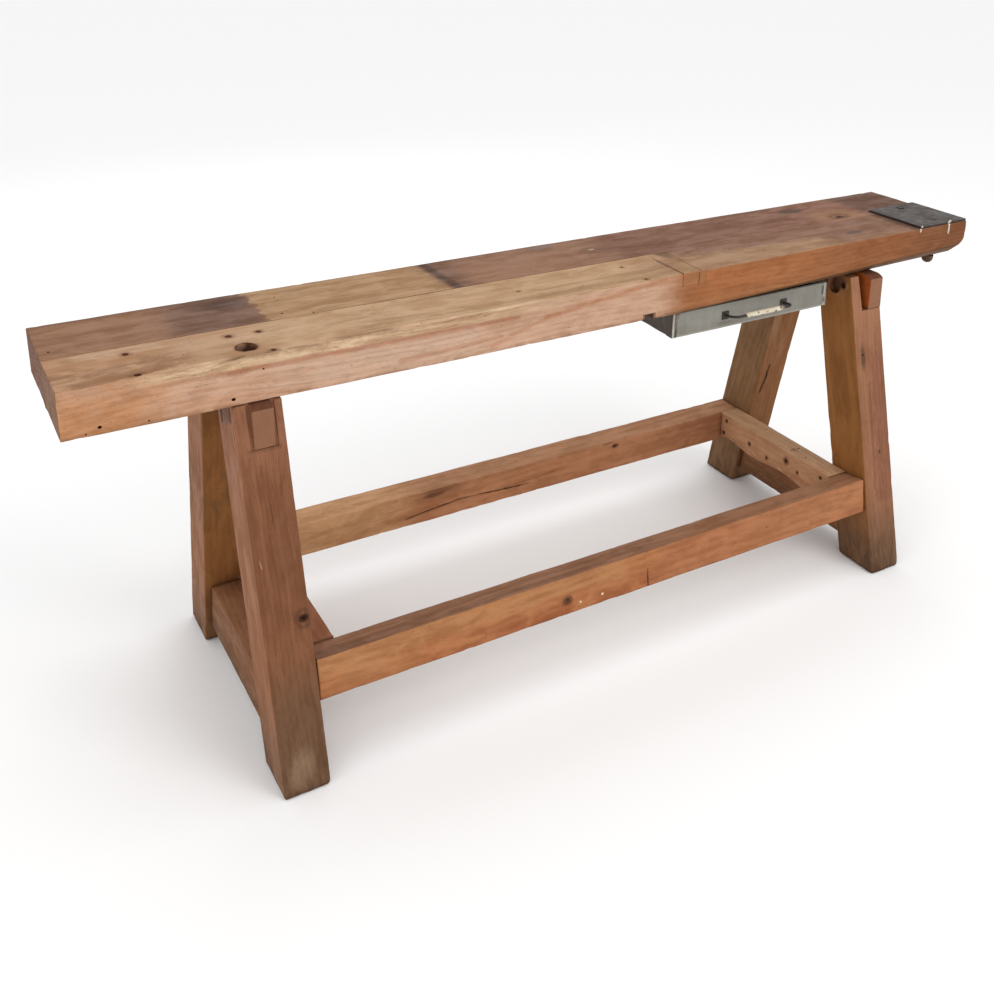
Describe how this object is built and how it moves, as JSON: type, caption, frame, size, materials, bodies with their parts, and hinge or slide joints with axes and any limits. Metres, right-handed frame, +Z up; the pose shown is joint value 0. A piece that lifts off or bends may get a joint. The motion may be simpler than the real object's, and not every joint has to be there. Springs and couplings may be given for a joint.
{
  "type": "workbench",
  "caption": "Joiner's workbench with a thick plank top on splayed, braced trestles, a steel plate let into one end and a sheet steel drawer with a bow handle under the top.",
  "frame": {"origin": "on the floor, under the middle of the top", "axes": "+X to the right along the bench, +Y to the back, away from the drawer's front, +Z up"},
  "size_m": [2, 0.611, 0.7585],
  "materials": {
    "top_wood": "worn bare timber, tan to reddish brown",
    "dark_top_wood": "worn bare timber, stained purplish brown",
    "patch_wood": "worn bare timber",
    "leg_wood": "aged timber, rubbed",
    "bearer_wood": "aged timber, rubbed",
    "stretcher_wood": "aged orange-brown timber",
    "batten_wood": "newer pale timber, nail-marked",
    "dowel_wood": "turned hardwood",
    "plate_steel": "dark, oxidised and oiled",
    "rusty_steel": "rusted",
    "drawer_paint": "grey paint over sheet steel, chipped at the folds",
    "zinc_sheet": "dull zinc",
    "black_iron": "black lacquer, worn",
    "cream_enamel": "cream enamel, chipped"
  },
  "bodies": {
    "bench": {"top_front_plank": "top_wood", "top_back_plank": "dark_top_wood", "top_joint_dowels": "dowel_wood", "top_patch": "patch_wood", "end_plate": "plate_steel", "end_plate_bolts": "plate_steel", "end_plate_dome_nuts": "rusty_steel", "top_hold_down_screw": "rusty_steel", "bearer_coach_screws": "rusty_steel", "front_stretcher": "stretcher_wood", "back_stretcher": "stretcher_wood", "left_drawer_hanger": "zinc_sheet", "right_drawer_hanger": "zinc_sheet", "drawer_stop": "zinc_sheet", "drawer_hanger_screws": "zinc_sheet", "drawer_stop_screw": "zinc_sheet", "front_left_leg": "leg_wood", "back_left_leg": "leg_wood", "left_bearer": "bearer_wood", "left_bearer_pegs": "dowel_wood", "left_foot_rail": "leg_wood", "left_batten": "batten_wood", "left_batten_nails": "rusty_steel", "front_right_leg": "leg_wood", "back_right_leg": "leg_wood", "right_bearer": "bearer_wood", "right_bearer_pegs": "dowel_wood", "right_foot_rail": "leg_wood", "right_batten": "batten_wood", "right_batten_nails": "rusty_steel"},
    "drawer": {"drawer_tray": "drawer_paint", "drawer_front": "drawer_paint", "drawer_rivets": "zinc_sheet", "handle_feet": "black_iron", "handle_bow": "black_iron", "handle_grip": "cream_enamel", "handle_screws": "zinc_sheet"}
  },
  "joints": [
    {"name": "drawer_slide", "type": "slide", "parent": "bench", "child": "drawer", "axis": [0, -1, 0], "range_m": [0, 0.2]}
  ]
}
